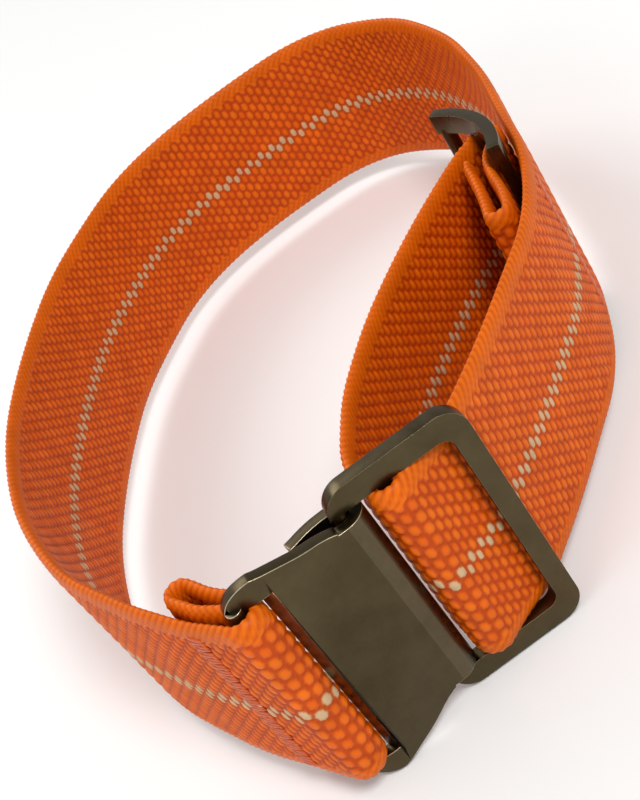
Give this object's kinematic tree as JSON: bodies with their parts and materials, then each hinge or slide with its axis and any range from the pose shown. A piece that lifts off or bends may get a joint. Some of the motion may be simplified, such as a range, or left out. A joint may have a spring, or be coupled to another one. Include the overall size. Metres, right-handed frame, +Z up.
{
  "type": "woven elastic wrist strap with hook clasp",
  "caption": "Woven elastic wrist strap: a loop of webbing with a folded hook, a barred ring and an arched slider.",
  "frame": {"origin": "centre of the footprint, on the surface that the strap stands on", "axes": "+Z up along the bars of the clasp and across the webbing, -Y towards the clasp, +X towards the slider side"},
  "size_m": [0.0586, 0.084, 0.022],
  "materials": {
    "webbing": "ribbed orange elastic weave with a white centre stripe",
    "thread": "satin stitched polyester thread",
    "bronze_steel": "dark bronze brushed steel with bright worn edges"
  },
  "bodies": {
    "band": {"wrist_loop": "webbing", "outer_strand": "webbing", "ring_wrap": "webbing", "inner_strand": "webbing", "slider_wrap": "webbing", "slider_tail": "webbing", "slider_bar_tack": "thread"},
    "ring": {"ring": "bronze_steel"},
    "hook": {"hook_plate": "bronze_steel", "hook_lead": "webbing", "hook_wrap": "webbing", "hook_tail": "webbing", "hook_bar_tack": "thread"},
    "slider": {"slider": "bronze_steel"}
  },
  "joints": [
    {"name": "ring_rock", "type": "hinge", "parent": "band", "child": "ring", "pos_m": [-0.0027, -0.0379, 0.011], "axis": [0, 0, 1], "range_deg": [0, 1.5]},
    {"name": "hook_swing", "type": "hinge", "parent": "ring", "child": "hook", "pos_m": [-0.00645, -0.0379, 0.011], "axis": [0, 0, 1], "range_deg": [0, 22]},
    {"name": "slider_rock", "type": "hinge", "parent": "band", "child": "slider", "pos_m": [0.02204, -0.00622, 0.011], "axis": [0, 0, 1], "range_deg": [-2, 2]}
  ]
}
